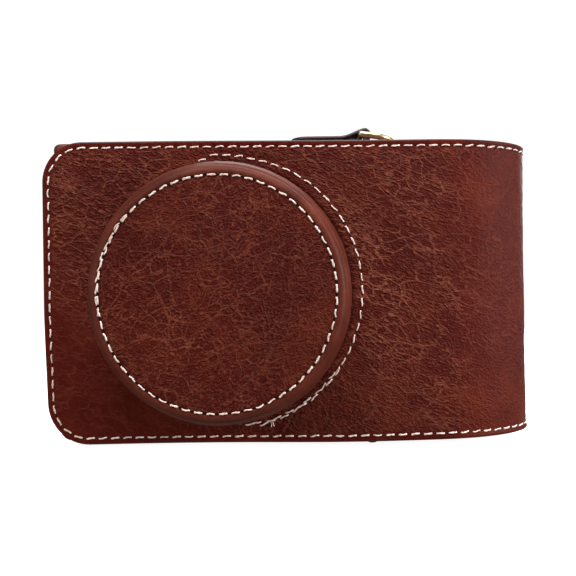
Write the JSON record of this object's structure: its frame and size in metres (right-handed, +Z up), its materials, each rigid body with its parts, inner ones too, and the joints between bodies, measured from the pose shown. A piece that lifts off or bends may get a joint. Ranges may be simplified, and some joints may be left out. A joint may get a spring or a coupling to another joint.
{
  "type": "leather ever ready case",
  "caption": "Hand-sewn leather case for a compact camera: tray with a wrap-round hinged front, round lens cover, strap tab with ring and camera screw.",
  "frame": {"origin": "axis of the camera screw at the inner floor on which the camera's base sits", "axes": "+Z up, the front with the lens cover faces -Y, +X to the viewer's right (the rounded end)"},
  "size_m": [0.1202, 0.0574, 0.0786],
  "materials": {
    "outer_leather": "semi-gloss pull-up leather with an irregular crackle grain",
    "dark_leather": "smooth, painted edge",
    "suede": "napped suede",
    "board": "matt fibreboard",
    "thread": "waxed polished thread",
    "steel": "satin nickel plate",
    "screw_steel": "satin",
    "dark_metal": "gunmetal",
    "ring_brass": "pale polished light-gold plate"
  },
  "bodies": {
    "tray": {"back_leather": "outer_leather", "back_board": "board", "back_lining": "suede", "back_stitches": "thread", "top_leather": "outer_leather", "top_board": "board", "top_lining": "suede", "bottom_leather": "outer_leather", "bottom_board": "board", "bottom_lining": "suede", "left_leather": "outer_leather", "left_board": "board", "left_lining": "suede", "upper_keeper": "steel", "lower_keeper": "steel", "strap_tab": "dark_leather", "tab_stitches": "thread", "screw_washer": "steel", "base_stud": "dark_metal"},
    "cover": {"cover_leather": "outer_leather", "front_board": "board", "end_board": "board", "cover_lining": "suede", "cover_stitches": "thread", "lens_wall": "outer_leather", "lens_face": "outer_leather", "lens_board": "board", "lens_lining": "suede", "face_stitches": "thread", "base_stitches": "thread", "upper_magnet": "steel", "lower_magnet": "steel"},
    "ring": {"strap_ring": "ring_brass"},
    "screw": {"camera_screw": "screw_steel"}
  },
  "joints": [
    {"name": "cover_hinge", "type": "hinge", "parent": "tray", "child": "cover", "pos_m": [0.0325, 0.0171, 0.033], "axis": [0, 0, 1], "range_deg": [0, 140]},
    {"name": "ring_swing", "type": "hinge", "parent": "tray", "child": "ring", "pos_m": [0.01745, -0.0036, 0.0718], "axis": [0, -1, 0], "range_deg": [0, 165]},
    {"name": "screw_turn", "type": "hinge", "parent": "tray", "child": "screw", "pos_m": [0, 0, 0], "axis": [0, 0, 1], "continuous": true}
  ]
}
